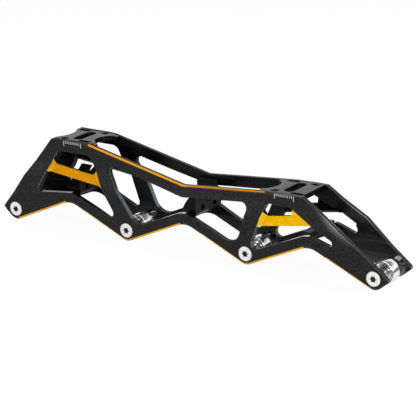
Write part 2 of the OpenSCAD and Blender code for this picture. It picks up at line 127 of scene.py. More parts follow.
# Metal, roughness and sheen. The blasted and milled ones are parts of the roughness in the panel.
BLACK = (0, 0, 0)
ORANGE_TURN = (0.78, 0.62, 1.0)
GILT_METAL = 0.1
BRACE_METAL = 0.12
BRACE_ROUGH = (0.28, 0.46)
REVEAL_METAL = 0.8
SPECKLE_SHARE = 0.75
BLASTED_ROUGH = (0.9, 1.12)
MILLED_ROUGH = (0.6, 1.5)
BOSS_ROUGH = 0.10
DECK_ROUGH = (0.30, 0.44)
SPACER_METAL = 0.92
SPACER_GRAIN = 0.35
SPACER_ROUGH = (0.04, 0.10)
DISH_ROUGH = (0.17, 0.27)
BOLT_EDGE = 0.7
HEAD_METAL = 0.05
HEAD_ROUGH = (0.22, 0.34)
HEAD_SHEEN = 0.5
SOCKET_SHEEN = 0.15
SHAFT_METAL = 0.95
SHAFT_ROUGH = (0.08, 0.2)
INK_ROUGH = (0.6, 0.45)

WALLS = ("right_side_wall", "left_side_wall")
BRIDGES = ("rear_bridge", "middle_bridge", "front_bridge")
DECKS = ("rear_mount_deck", "front_mount_deck")
REAR_BRACES = ("right_rear_brace", "left_rear_brace")
FRONT_BRACES = ("right_front_brace", "left_front_brace")
AXLES = ("axle_1", "axle_2", "axle_3", "axle_4")
SPACERS = ("bearing_spacer_1", "bearing_spacer_2", "bearing_spacer_3", "bearing_spacer_4")


def colour(name, description, value):
    """Colour property of a finish, in linear light."""
    return FloatVectorProperty(name=name, description=description, default=value, size=3, min=0, max=1,
                               subtype="COLOR")


def length(name, description, millimetres):
    """Length property, kept in metres."""
    return FloatProperty(name=name, description=description, default=millimetres * MM, unit="LENGTH",
                         precision=5)


def share(name, description, value):
    """Property from 0 to 1."""
    return FloatProperty(name=name, description=description, default=value, min=0, max=1, subtype="FACTOR")


def angle(name, description, degrees):
    """Angle property, kept in radians."""
    return FloatProperty(name=name, description=description, default=math.radians(degrees), subtype="ANGLE")


class SkateFrameFinish(bpy.types.PropertyGroup):
    """Colours and surface of the anodised, turned and polished pieces"""

    outer: colour("Outer walls", "Dyed oxide on the blasted outer faces", (0.0112, 0.0103, 0.0109))
    inner: colour("Inner walls", "Dyed oxide on the milled inner faces", (0.0014, 0.0013, 0.0013))
    # Painted light: a lighter tone on the inner faces of the nose, standing in for the reflections they
    # catch.
    nose: colour("Inner nose", "Dyed oxide on the inner faces of the nose", (0.020, 0.018, 0.018))
    # Painted light: a lighter tone on the bridges' faces that look forwards, as if lit from the front.
    bridge_front_light: colour("Bridges", "Milled front faces of the bridges", (0.021, 0.018, 0.016))
    # Painted highlight: a lighter tone on the cut edges of the windows, only where they look forwards.
    reveal: colour("Window edges", "Thin oxide on the cut edges of the windows", (0.150, 0.162, 0.180))
    # Partly painted light: the decks' upward faces get a lighter tone than their other faces, for light from
    # above.
    deck: colour("Decks", "Dyed oxide on the faces under the boot", (0.039, 0.038, 0.038))
    deck_edge: colour("Deck edges", "Thin oxide on the broken edges of the decks", (0.14, 0.138, 0.14))
    gold: colour("Gold edges", "Gold oxide on the upper bevels", (0.80, 0.335, 0.0008))
    front_rail: colour("Front rail", "Gold oxide on the rails ahead of their bend", (0.56, 0.195, 0.0006))
    # Painted light: the same gold oxide in a brighter copy for the bevels that look down.
    under_gold_lit: colour("Gold undersides", "Gold oxide on the lower bevels", (1.0, 0.47, 0.0015))
    # Partly painted highlight: wear on the broken edges, made lighter also to stand in for the light they
    # catch.
    worn: colour("Worn edges", "Thin oxide on the broken edges", (0.165, 0.164, 0.176))
    # Painted highlight: a light patch on the bend to the nose, standing in for the light that the bend
    # catches.
    bend: colour("Polished bend", "Oxide polished by hands on the bend to the nose", (0.195, 0.184, 0.215))
    # Painted highlight on the outer rims of the window edges that look forwards.
    strip: colour("Worn rims", "Bright outer rims of the window edges that look forwards", (0.30, 0.31, 0.32))
    # Painted highlight: nearly white lines on the sills that lean back.
    sill_highlight_tone: colour("Worn sills", "Thin oxide on the sills that lean back", (0.92, 0.92, 0.93))
    # Lit and shaded copies of one gold oxide: the rear braces darker, the front braces brighter, standing in
    # for more light at the front.
    rear_gold_shaded: colour("Rear braces", "Gold oxide on the rear braces", (0.78, 0.355, 0.0008))
    front_gold_lit: colour("Front braces", "Gold oxide on the front braces", (1.0, 0.585, 0.0012))
    # Painted highlight: brighter gold on the braces' sloping ends.
    slope_highlight_gold: colour("Brace ends", "Brighter gold on the braces' sloping ends", (1.0, 0.66, 0.012))
    steel: colour("Axle steel", "Nickel plated axle bolts", (0.93, 0.93, 0.92))
    socket: colour("Sockets", "Shade in the six-lobed sockets", (0.045, 0.040, 0.030))
    spacer: colour("Spacers", "Polished aluminium spacers", (0.95, 0.95, 0.96))
    outer_rough: share("Outer roughness", "Roughness of the blasted outer faces", 0.44)
    inner_rough: share("Inner roughness", "Roughness of the milled inner faces", 0.24)
    outer_sheen: share("Outer sheen", "Mirror reflection of the outer faces", 0.30)
    inner_sheen: share("Inner sheen", "Mirror reflection of the inner faces", 0.42)
    heel_sheen: share("Heel sheen", "Mirror reflection of the inner faces at the heel", 0.05)
    bridge_sheen: share("Bridge sheen", "Mirror reflection of the bridges", 0.24)
    gold_sheen: share("Gold sheen", "Mirror reflection of the gold faces", 0.03)
    deck_sheen: share("Deck sheen", "Mirror reflection of the faces under the boot", 0.42)
    # This sheen is used on the band of painted shade round the side slots.
    slot_sheen: share("Slot sheen", "Mirror reflection of the broken edges of the side slots", 0.05)
    boss_sheen: share("Boss sheen", "Mirror reflection of the turned bosses inside the walls", 1.0)
    edge: length("Edge rounding", "Radius of the broken edges", 0.5)


class SkateFrameScale(bpy.types.PropertyGroup):
    """Printed scales beside the boot slots"""

    ticks: IntProperty(name="Ticks", description="Marks on each scale", default=11, min=3, max=21)
    pitch: length("Pitch", "Distance between marks", 1.65)
    width: length("Width", "Width of a mark", 0.42)
    short: length("Short mark", "Length of a plain mark", 2.0)
    long: length("Long mark", "Length of an end mark", 4.0)
    ink: colour("Ink", "Printed white", (0.80, 0.80, 0.79))


class SkateFrameStage(bpy.types.PropertyGroup):
    """Camera of the photograph"""

    azimuth: angle("Azimuth", "Camera's turn round the frame", 33.38)
    elevation: angle("Elevation", "Camera's angle above the floor", 17.446)
    roll: angle("Roll", "Camera's tilt to the right", 0.672)
    distance: length("Distance", "Camera to the middle of the frame", 1546.06)
    aim: FloatVectorProperty(name="Aim", description="Point that the camera looks at",
                             default=(0.00887, 0, 0.03277), size=3, subtype="TRANSLATION")
    focal_pixels: FloatProperty(name="Focal length", description="Focal length in pixels of the photograph",
                                default=2002.5)


def spread(base, factor):
    """Colour scaled for the light and dark ends of a mottled finish."""
    return tuple(min(1.0, c * factor) for c in base)


class Nodes:
    """A node tree, with short calls for the nodes that the finishes and the studio share."""

    # Places of a Mix node's factor, first and second input and of its output
    mix_sockets = {"FLOAT": (0, 2, 3, 0), "RGBA": (0, 6, 7, 2)}

    def __init__(self, tree):
        self.tree = tree
        tree.nodes.clear()

    def node(self, kind, **settings):
        made = self.tree.nodes.new(kind)
        for key, value in settings.items():
            setattr(made, key, value)
        return made

    def put(self, socket, value):
        """Links a socket to an input or sets a plain value on it."""
        if isinstance(value, bpy.types.NodeSocket):
            self.tree.links.new(value, socket)
        elif socket.type == "RGBA":
            socket.default_value = (*value, 1)
        else:
            socket.default_value = value

    def fill(self, node, **values):
        """Sets a node's inputs by name, with _ for a space."""
        for name, value in values.items():
            self.put(node.inputs[name.replace("_", " ")], value)
        return node

    def math(self, operation, *values):
        made = self.node("ShaderNodeMath", operation=operation)
        for socket, value in zip(made.inputs, values):
            self.put(socket, value)
        return made.outputs[0]

    def product(self, first, *others):
        for value in others:
            first = self.math("MULTIPLY", first, value)
        return first

    def over(self, value, bound):
        return self.math("GREATER_THAN", value, bound)

    def under(self, value, bound):
        return self.math("LESS_THAN", value, bound)

    def within(self, value, low, high):
        """1 between two bounds, 0 elsewhere."""
        return self.product(self.over(value, low), self.under(value, high))

    def without(self, mask):
        return self.math("SUBTRACT", 1.0, mask)

    def diagonal(self, along, across):
        return self.math("SQRT", self.math("ADD", *(self.math("POWER", v, 2.0) for v in (along, across))))

    def between(self, kind, *values):
        made = self.node("ShaderNodeMix", data_type=kind)
        *places, result = self.mix_sockets[kind]
        for place, value in zip(places, values):
            self.put(made.inputs[place], value)
        return made.outputs[result]

    def mix(self, factor, first, second):
        """From one colour to another."""
        return self.between("RGBA", factor, first, second)

    def blend(self, factor, first, second):
        """From one number to another."""
        return self.between("FLOAT", factor, first, second)

    def ramp(self, value, low, high, start=0.0, end=1.0):
        """start at low and before, end at high and beyond, smooth between."""
        made = self.node("ShaderNodeMapRange", interpolation_type="SMOOTHSTEP")
        self.fill(made, Value=value, From_Min=low, From_Max=high, To_Min=start, To_Max=end)
        return made.outputs["Result"]

    def parts(self, vector):
        made = self.node("ShaderNodeSeparateXYZ")
        self.put(made.inputs[0], vector)
        return made.outputs["X"], made.outputs["Y"], made.outputs["Z"]

    def background_rays(self):
        """1 for rays that show the background: from the camera, and by gloss or through glass."""
        rays = self.node("ShaderNodeLightPath").outputs
        seen = self.math("MAXIMUM", rays["Is Camera Ray"], rays["Is Glossy Ray"])
        return self.math("MAXIMUM", seen, rays["Is Transmission Ray"])

    def seen_white(self, gloss):
        """Full white to the camera, and a given strength in reflections."""
        return self.blend(self.node("ShaderNodeLightPath").outputs["Is Camera Ray"], gloss, 1.0)

    def surface(self, output, factor, first, second):
        """Ends the tree with a mix of two shaders."""
        mixed = self.node("ShaderNodeMixShader")
        for socket, value in zip(mixed.inputs, (factor, first.outputs[0], second.outputs[0])):
            self.put(socket, value)
        self.fill(self.node(output), Surface=mixed.outputs[0])


class Finish(Nodes):
    """A material, with the coordinates, patterns and edges that the finishes share."""

    def __init__(self, name):
        self.material = bpy.data.materials.new(name)
        self.material.use_nodes = True
        super().__init__(self.material.node_tree)
        self.shader = self.node("ShaderNodeBsdfPrincipled")
        self.fill(self.node("ShaderNodeOutputMaterial"), Surface=self.shader.outputs["BSDF"])
        coords = self.node("ShaderNodeTexCoord")
        self.point = coords.outputs["Object"]
        self.x, self.y, self.z = self.parts(self.point)
        self.side = self.math("ABSOLUTE", self.y)
        self.nx, self.ny, self.nz = self.parts(coords.outputs["Normal"])
        # How far a face looks away from the middle of the frame: 1 outside, -1 inside
        self.out = self.product(self.math("SIGN", self.y), self.ny)

    def set(self, name, value):
        self.put(self.shader.inputs[name], value)

    def tint(self, base, tone, mask, amount):
        """Turns a colour towards a tone by a mask, in part or through a second mask."""
        return self.mix(self.product(mask, amount), base, tone)

    def noise(self, scale, detail=3, stretch=None, roughness=0.55):
        """Noise with grains per metre, drawn out along an axis by a small stretch."""
        vector = self.point
        if stretch:
            vector = self.fill(self.node("ShaderNodeMapping"), Vector=vector, Scale=stretch).outputs["Vector"]
        made = self.node("ShaderNodeTexNoise")
        self.fill(made, Vector=vector, Scale=scale, Detail=detail, Roughness=roughness)
        return made.outputs["Fac"]

    def mottled(self, pattern, base, bounds, tones):
        """Colour between a dark and a light tone, as a pattern goes from one bound to the other."""
        return self.mix(self.ramp(pattern, *bounds), *(spread(base, tone) for tone in tones))

    def rounded(self, radius):
        """Normal with the broken edge that the tool leaves, and a mask of that edge."""
        bevel = self.fill(self.node("ShaderNodeBevel", samples=BEVEL_SAMPLES), Radius=radius)
        normal = bevel.outputs["Normal"]
        turn = self.node("ShaderNodeVectorMath", operation="DOT_PRODUCT")
        self.put(turn.inputs[0], normal)
        self.put(turn.inputs[1], self.node("ShaderNodeNewGeometry").outputs["Normal"])
        return normal, self.ramp(self.without(turn.outputs["Value"]), *EDGE_TURN)

    def bump(self, height, normal, strength, depth):
        made = self.node("ShaderNodeBump")
        self.fill(made, Height=height, Strength=strength, Distance=depth, Normal=normal)
        return made.outputs["Normal"]


def gold_finish(name, looks, shade):
    """Gold oxide over a lightly brushed face, with painted highlights on the sloping ends, black where it
    looks into the frame.
    """
    made = Finish(name)
    brushed = made.noise(scale=900, stretch=(0.05, 1, 1))
    speckle = made.ramp(made.noise(scale=850, detail=1), low=0.35, high=0.65)
    orange = tuple(c * turn for c, turn in zip(shade, ORANGE_TURN))
    slope_highlight = made.ramp(made.math("ABSOLUTE", made.nx), low=0.15, high=0.4)
    normal, edge = made.rounded(looks.edge)
    gold = made.mottled(made.noise(scale=140, detail=4), shade, bounds=(0.3, 0.7), tones=(0.9, 1.08))
    gold = made.tint(gold, orange, speckle, amount=0.5)
    # Painted highlight on the sloping ends.
    gold = made.tint(gold, looks.slope_highlight_gold, slope_highlight, amount=0.8)
    gold = made.tint(gold, spread(shade, factor=1.25), edge, amount=0.35)
    outside = made.over(made.out, BRACE_TURN)
    made.set("Base Color", made.mix(outside, looks.inner, gold))
    made.set("Metallic", made.blend(outside, 0.0, BRACE_METAL))
    made.set("Specular IOR Level", made.blend(outside, looks.heel_sheen, looks.gold_sheen))
    made.set("Roughness", made.blend(brushed, *BRACE_ROUGH))
    made.set("Normal", made.bump(brushed, normal, strength=0.08, depth=0.06 * MM))
    return made.material


def gilt_bevels(made):
    """1 on the bevels that keep their gold: on the upper rails, and underneath except over the wheels."""
    bevel = made.product(made.over(made.out, BEVEL_TURN), made.over(made.side, GILT_Y))
    rail_edge = made.ramp(made.x, *RAIL_BEND, *GILT_UPPER_Y)
    upper = made.product(made.over(made.nz, BEVEL_TURN), made.within(made.x, *GILT_RAIL),
                         made.under(made.side, rail_edge))
    along = made.math("FLOORED_MODULO", made.math("SUBTRACT", made.x, GILT_UNDER[0]), AXLE_PITCH)
    lower = made.product(made.under(made.nz, -BEVEL_TURN), made.within(made.x, *GILT_UNDER),
                         made.under(made.side, GILT_LOWER_Y), made.without(made.within(along, *BARE_CREST)))
    return made.product(bevel, made.math("MAXIMUM", upper, lower))


def gilding(made, looks, mottle):
    """Gold oxide for the bevels: the rails, the rails ahead of their bend in a darker tone, and the
    undersides in a brighter tone as painted light.
    """
    gold = made.mix(made.ramp(made.x, *RAIL_BEND), looks.gold, looks.front_rail)
    # Painted light: the bevels that look down take the brighter copy of the gold.
    gold = made.mix(made.under(made.nz, 0.0), gold, looks.under_gold_lit)
    return made.tint(gold, BLACK, made.ramp(mottle, low=0.7, high=0.3), amount=0.12)


def window_edge_highlight(made):
    """1 on the cut edges of the windows that look forwards, less towards the rails and at the heel, where a
    highlight is painted.
    """
    forward = made.product(made.ramp(made.nx, low=0.55, high=0.75), made.within(made.nz, low=-0.2, high=0.75))
    towards_rail = made.ramp(made.z, *REVEAL_TOP, start=1.0, end=0.15)
    at_heel = made.ramp(made.x, *REVEAL_REAR, start=0.15, end=1.0)
    return made.product(forward, towards_rail, at_heel, made.over(made.side, WALL_INSIDE))


def cut_faces(made):
    """1 on faces that look along the wall."""
    return made.under(made.math("ABSOLUTE", made.out), CUT_TURN)


def rim_highlights(made, wide):
    """1 along the outer rim of the cut edges that look forwards, inside a wide mask of the edges, where a
    highlight is painted.
    """
    start = made.blend(made.under(made.nz, RIM_DOWN_TURN), *STRIP_OUTER_Y)
    forward = made.ramp(made.nx, low=0.5, high=0.7)
    return made.product(wide, cut_faces(made), forward, made.over(made.side, start))


def sill_highlights(made):
    """1 on the sills that lean back, less at the heel, where a highlight is painted."""
    level = made.product(made.ramp(made.nz, low=0.7, high=0.85), made.within(made.nx, *SILL_LEAN))
    low = made.product(made.under(made.z, SILL_TOP), made.ramp(made.z, *SILL_RISE))
    at_heel = made.ramp(made.x, *REVEAL_REAR, start=0.35, end=1.0)
    return made.product(cut_faces(made), level, low, at_heel, made.over(made.side, SILL_Y))


def painted_nose_highlight(made):
    """1 in the middle of a painted highlight under the nose's edge, fading outwards."""
    patch = made.node("ShaderNodeMapping", vector_type="TEXTURE")
    made.fill(patch, Vector=made.point, Location=NOSE_PATCH, Rotation=(0, NOSE_PATCH_FALL, 0),
              Scale=NOSE_PATCH_REACH)
    fade = made.node("ShaderNodeTexGradient", gradient_type="SPHERICAL")
    made.fill(fade, Vector=patch.outputs["Vector"])
    return made.ramp(fade.outputs["Fac"], low=0.0, high=0.9)


def place_by_axle(made):
    """How far a point lies ahead of the nearest axle's line, and how far above it."""
    along = made.math("SUBTRACT", made.math("FLOORED_MODULO", made.x, AXLE_PITCH), AXLE_PITCH / 2)
    return along, made.math("SUBTRACT", made.z, AXLE_HEIGHT)


def from_axle(made):
    """Distance of a point from the nearest axle's line."""
    return made.diagonal(*place_by_axle(made))


def turned_bosses(made):
    """1 on the bosses round the axles that stand inside the walls."""
    return made.product(made.under(made.side, BOSS_FACE), made.under(from_axle(made), BOSS_RADIUS))


def oxide_with_nose_light(made, looks, mottle, streaks, inside, outside):
    """Dyed oxide before its wear: speckled outside, streaked inside, and lighter on the inner faces of the
    nose as painted light.
    """
    cloudy = made.mottled(mottle, looks.outer, bounds=(0.25, 0.75), tones=(0.82, 1.22))
    speckle = made.noise(scale=850, detail=1)
    speckled = made.mottled(speckle, looks.outer, bounds=(0.35, 0.65), tones=(0.25, 2.9))
    inner = made.mottled(streaks, looks.inner, bounds=(0.42, 0.66), tones=(0.4, 2.4))
    # Painted light: the inner faces of the nose are turned lighter.
    nose = made.mottled(streaks, looks.nose, bounds=(0.38, 0.66), tones=(0.15, 1.6))
    inner = made.tint(inner, nose, made.ramp(made.x, *NOSE_START), amount=inside)
    outer = made.mix(SPECKLE_SHARE, cloudy, speckled)
    return made.mix(outside, inner, outer)


def wear_and_highlights(made, looks, base, edge, outside):
    """Oxide worn thin on the broken edges, also standing in for their highlight, and painted highlights on
    the bend to the nose, the rims and the sills.
    """
    bend = painted_nose_highlight(made)
    _, wide = made.rounded(STRIP_WIDTH)
    # Painted highlight: the light patch on the outer faces at the bend to the nose.
    base = made.tint(base, looks.bend, bend, amount=outside)
    # Lighter broken edges: wear, and in part a painted highlight along them.
    base = made.tint(base, looks.worn, edge, amount=0.45)
    # Painted highlight: a brighter line along the broken edge inside that patch.
    base = made.tint(base, spread(looks.strip, factor=2.6), wide, amount=bend)
    # Painted highlight on the forward rims, brighter where they look down.
    rim = made.mix(made.ramp(made.nz, low=-0.15, high=-0.4), looks.strip, spread(looks.strip, factor=3.0))
    base = made.mix(rim_highlights(made, wide), base, rim)
    # Painted highlight on the sills.
    return made.mix(sill_highlights(made), base, looks.sill_highlight_tone)


def milled_roughness(made, looks, streaks):
    """Roughness of milled faces, which follows the streaks."""
    return made.blend(streaks, *(looks.inner_rough * part for part in MILLED_ROUGH))


def milled_bump(made, height, normal):
    """Marks that the cutter leaves along milled faces."""
    return made.bump(height, normal, strength=0.10, depth=0.35 * MM)


def wall_finish(name, looks):
    """Black oxide: blasted and satin outside, milled and glossy inside, with gold on the bevelled edges."""
    made = Finish(name)
    inside = made.ramp(made.product(made.out, -1.0), *FACE_TURN)
    outside = made.ramp(made.out, *FACE_TURN)
    reveal = window_edge_highlight(made)
    bevel = gilt_bevels(made)
    boss = turned_bosses(made)
    grain = made.noise(scale=5200, detail=2)
    mottle = made.noise(scale=60, detail=4)
    streaks = made.noise(scale=260, detail=4, stretch=(0.035, 1, 1), roughness=0.6)
    normal, edge = made.rounded(looks.edge)
    base = oxide_with_nose_light(made, looks, mottle, streaks, inside, outside)
    base = wear_and_highlights(made, looks, base, edge, outside)
    # Painted highlight: a lighter tone, over a metallic face, on the window edges that look forwards.
    bare_highlight = made.mottled(streaks, looks.reveal, bounds=(0.4, 0.7), tones=(1.0, 1.3))
    base = made.mix(reveal, base, bare_highlight)
    made.set("Base Color", made.mix(bevel, base, gilding(made, looks, mottle)))
    made.set("Metallic", made.blend(bevel, made.product(reveal, REVEAL_METAL), GILT_METAL))
    blasted = made.blend(grain, *(looks.outer_rough * part for part in BLASTED_ROUGH))
    rough = made.blend(inside, blasted, milled_roughness(made, looks, streaks))
    made.set("Roughness", made.blend(boss, rough, BOSS_ROUGH))
    inner_sheen = made.ramp(made.x, *HEEL_END, looks.heel_sheen, looks.inner_sheen)
    sheen = made.blend(boss, made.blend(outside, inner_sheen, looks.outer_sheen), looks.boss_sheen)
    made.set("Specular IOR Level", made.blend(bevel, sheen, looks.gold_sheen))
    normal = made.bump(made.product(grain, outside), normal, strength=0.16, depth=0.05 * MM)
    made.set("Normal", milled_bump(made, made.product(streaks, inside), normal))
    return made.material


def milled_finish(name, looks):
    """Black oxide over milled faces, glossy and streaked lengthwise, with painted light on the faces that
    look forwards.
    """
    made = Finish(name)
    streaks = made.noise(scale=260, detail=4, stretch=(0.05, 1, 1), roughness=0.6)
    normal, edge = made.rounded(looks.edge)
    base = made.mottled(streaks, looks.inner, bounds=(0.42, 0.66), tones=(0.6, 3.2))
    # Painted light on the faces that look forwards.
    base = made.mix(made.ramp(made.nx, low=0.5, high=0.8), base, looks.bridge_front_light)
    made.set("Base Color", made.tint(base, spread(looks.outer, factor=3.0), edge, amount=0.5))
    made.set("Roughness", milled_roughness(made, looks, streaks))
    made.set("Specular IOR Level", made.ramp(made.x, *HEEL_END, looks.heel_sheen, looks.bridge_sheen))
    made.set("Normal", milled_bump(made, streaks, normal))
    return made.material


def slot_rim_shade(made):
    """1 in a band round each side slot, where shade is painted: a short one and a long one at each side of a
    deck.
    """
    middle = made.blend(made.over(made.x, 0.0), *SLOT_X)
    along = made.product(made.math("SUBTRACT", made.x, middle), made.math("SIGN", made.y))
    across = made.math("SUBTRACT", made.side, SIDE_SLOT_Y)
    rims = []
    for centre, half in ((SIDE_SLOT_X, SHORT_SLOT), (-SIDE_SLOT_X, LONG_SLOT)):
        past = made.math("SUBTRACT", made.math("ABSOLUTE", made.math("SUBTRACT", along, centre)), half)
        past = made.math("MAXIMUM", past, 0.0)
        rims.append(made.under(made.diagonal(past, across), SIDE_SLOT_RIM))
    return made.math("MAXIMUM", *rims)


def deck_finish(name, looks):
    """Black oxide on the faces under the boot, darker in front, with fine milling marks across; a lighter
    tone only on the upward faces, partly painted light from above, and painted shade round the side slots.
    """
    made = Finish(name)
    milled = made.noise(scale=700, stretch=(1, 0.06, 1))
    normal, edge = made.rounded(looks.edge)
    rim = slot_rim_shade(made)
    mottle = made.noise(scale=80, detail=4)
    base = made.mottled(mottle, looks.deck, bounds=(0.3, 0.7), tones=(0.85, 1.15))
    base = made.tint(base, looks.inner, made.over(made.x, 0.0), amount=0.5)
    base = made.tint(base, looks.deck_edge, edge, amount=0.4)
    # Painted shade: the band round each side slot takes the dark inner tone.
    base = made.mix(rim, base, looks.inner)
    # Partly painted light: only the upward faces take the lighter deck tone.
    made.set("Base Color", made.mix(made.ramp(made.nz, low=0.5, high=0.8), looks.inner, base))
    made.set("Roughness", made.blend(milled, *DECK_ROUGH))
    made.set("Specular IOR Level", made.blend(rim, looks.deck_sheen, looks.slot_sheen))
    made.set("Normal", made.bump(milled, normal, strength=0.07, depth=0.08 * MM))
    return made.material


def spacer_finish(name, looks):
    """Polished aluminium with fine turned rings, softer in the dished ends, with painted shade on the spacers
    behind the nose.
    """
    made = Finish(name)
    smear = made.noise(scale=120, detail=4)
    rings = made.noise(scale=1500, detail=2, stretch=(0.02, 1, 0.02))
    tone = made.mottled(smear, looks.spacer, bounds=(0.3, 0.75), tones=(0.92, 1.05))
    # Painted shade: the spacers behind the nose, deep between the walls, take a darker tone.
    made.set("Base Color", made.mix(made.ramp(made.x, *NOSE_START), spread(looks.spacer, factor=0.8), tone))
    made.set("Metallic", SPACER_METAL)
    dished = made.ramp(made.math("ABSOLUTE", made.ny), low=0.1, high=0.3)
    polished = made.blend(smear, *SPACER_ROUGH)
    made.set("Roughness", made.blend(dished, polished, made.blend(smear, *DISH_ROUGH)))
    made.set("Anisotropic", SPACER_GRAIN)
    made.set("Tangent", along_grooves(made))
    plain = made.node("ShaderNodeNewGeometry").outputs["Normal"]
    made.set("Normal", made.bump(rings, plain, strength=0.08, depth=0.006 * MM))
    return made.material


def along_grooves(made):
    """Direction of the turned grooves, square to the line from the axle."""
    along, height = place_by_axle(made)
    grooves = made.fill(made.node("ShaderNodeCombineXYZ"), X=height, Z=made.product(along, -1.0))
    unit = made.node("ShaderNodeVectorMath", operation="NORMALIZE")
    made.put(unit.inputs[0], grooves.outputs[0])
    return unit.outputs["Vector"]


def bolt_finish(name, looks):
    """Plated steel with turned rings, a dark socket in the head, a polished shaft and a thread at its tip."""
    made = Finish(name)
    lowest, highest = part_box("axle_1")
    depth = made.math("SUBTRACT", made.y, lowest.y)
    radius = from_axle(made)
    socket = made.product(made.within(depth, *SOCKET_DEPTH), made.under(radius, SOCKET_RADIUS))
    shaft = made.over(depth, HEAD_HEIGHT)
    smear = made.noise(scale=120, detail=4)
    normal, edge = made.rounded(looks.edge * BOLT_EDGE)
    tone = made.mottled(smear, looks.steel, bounds=(0.3, 0.75), tones=(0.93, 1.05))
    tone = made.tint(tone, spread(looks.steel, factor=1.15), edge, amount=0.4)
    made.set("Base Color", made.mix(socket, tone, looks.socket))
    made.set("Metallic", made.blend(shaft, made.blend(socket, HEAD_METAL, 0.0), SHAFT_METAL))
    made.set("Specular IOR Level", made.blend(socket, HEAD_SHEEN, SOCKET_SHEEN))
    made.set("Roughness", made.blend(shaft, made.blend(smear, *HEAD_ROUGH), made.blend(smear, *SHAFT_ROUGH)))
    rings = made.math("FRACT", made.product(radius, 1 / RING_PITCH))
    normal = made.bump(rings, normal, strength=0.05, depth=0.02 * MM)
    tip = made.over(made.y, highest.y - THREAD_LENGTH)
    thread = made.product(made.math("PINGPONG", made.y, THREAD_PITCH / 2), 2 / THREAD_PITCH, tip)
    made.set("Normal", made.bump(thread, normal, strength=0.8, depth=0.3 * MM))
    return made.material


def ink_finish(name, marks):
    """Screen-printed white, slightly broken up by the blasted face under it."""
    made = Finish(name)
    whole = made.ramp(made.noise(scale=2400), low=0.3, high=0.5)
    made.set("Base Color", made.mix(whole, spread(marks.ink, factor=0.62), marks.ink))
    made.set("Roughness", made.blend(whole, *INK_ROUGH))
    return made.material


def clothe(names, material):
    """Gives CAD nodes a finish in each of their material slots."""
    for name in names:
        slots = NODES[name].material_slots
        if not slots:
            NODES[name].data.materials.append(material)
        for entry in slots:
            entry.material = material


def finished(mesh, name, material, body):
    """Makes a piece of a bmesh, in its place, riding on a body."""
    data = bpy.data.meshes.new(name)
    mesh.to_mesh(data)
    mesh.free()
    piece = bpy.data.objects.new(name, data)
    bpy.context.scene.collection.objects.link(piece)
    data.materials.append(material)
    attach(piece, body)
    return piece


class SKATEFRAME_OT_chassis(bpy.types.Operator):
    """Black oxide and gold bevels on the side walls, black oxide on the bridges"""

    bl_idname = "skateframe.chassis"
    bl_label = "Finish the walls and bridges"

    def execute(self, context):
        looks = context.scene.skate_frame_finish
        clothe(WALLS, wall_finish("blasted_black_oxide", looks))
        clothe(BRIDGES, milled_finish("milled_bridge_oxide", looks))
        return {"FINISHED"}


class SKATEFRAME_OT_decks(bpy.types.Operator):
    """Milled black oxide on the two mounting decks"""

    bl_idname = "skateframe.decks"
    bl_label = "Finish the decks"

    def execute(self, context):
        clothe(DECKS, deck_finish("milled_black_oxide", context.scene.skate_frame_finish))
        return {"FINISHED"}


class SKATEFRAME_OT_braces(bpy.types.Operator):
    """Gold oxide on the four window braces"""

    bl_idname = "skateframe.braces"
    bl_label = "Finish the braces"

    def execute(self, context):
        looks = context.scene.skate_frame_finish
        # Painted light: the rear braces take the darker copy of the gold, the front braces the brighter one.
        clothe(REAR_BRACES, gold_finish("gold_oxide_rear", looks, looks.rear_gold_shaded))
        clothe(FRONT_BRACES, gold_finish("gold_oxide_front", looks, looks.front_gold_lit))
        return {"FINISHED"}


class SKATEFRAME_OT_axles(bpy.types.Operator):
    """Plated steel on the axle bolts"""

    bl_idname = "skateframe.axles"
    bl_label = "Finish the axles"

    def execute(self, context):
        clothe(AXLES, bolt_finish("plated_steel", context.scene.skate_frame_finish))
        return {"FINISHED"}


class SKATEFRAME_OT_spacers(bpy.types.Operator):
    """Mirror-polished bearing spacers, turned with dished ends and rounded rims"""

    bl_idname = "skateframe.spacers"
    bl_label = "Turn the spacers"

    def execute(self, context):
        polish = spacer_finish("polished_aluminium", context.scene.skate_frame_finish)
        for name in SPACERS:
            piece = finished(self.turned(*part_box(name)), f"polished_{name}", polish, name)
            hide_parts(name)
        return {"FINISHED"}

    def turned(self, low, high):
        """Spins the spacer's outline round its axle."""
        middle = (low + high) / 2
        radius = (high.z - low.z) / 2
        half = (high.y - low.y) / 2
        dish_radius, dish_depth = SPACER_DISH
        lip, chamfer = SPACER_LIP
        right = ((SPACER_BORE, dish_depth - half), (dish_radius, dish_depth - half), (radius - lip, -half),
                 (radius - chamfer, -half), (radius, chamfer - half))
        outline = right + tuple((r, -y) for r, y in reversed(right))
        mesh = bmesh.new()
        verts = [mesh.verts.new((middle.x, middle.y + y, middle.z + r)) for r, y in outline]
        edges = [mesh.edges.new((a, b)) for a, b in zip(verts, verts[1:] + verts[:1])]
        bmesh.ops.spin(mesh, geom=verts + edges, cent=middle, axis=(0, 1, 0), dvec=(0, 0, 0),
                       angle=math.tau, steps=SPACER_STEPS, use_merge=True)
        bmesh.ops.remove_doubles(mesh, verts=mesh.verts[:], dist=SPACER_WELD)
        bmesh.ops.recalc_face_normals(mesh, faces=mesh.faces[:])
        rims = [e for e in mesh.edges if e.calc_face_angle(0) > RIM_ANGLE]
        bmesh.ops.bevel(mesh, geom=rims, offset=SPACER_ROUND, offset_type="OFFSET", segments=2, profile=0.5,
                        affect="EDGES", material=-1)
        for face in mesh.faces:
            face.smooth = True
        for edge in mesh.edges:
            edge.smooth = edge.calc_face_angle(0) < SHARP_ANGLE
        return mesh


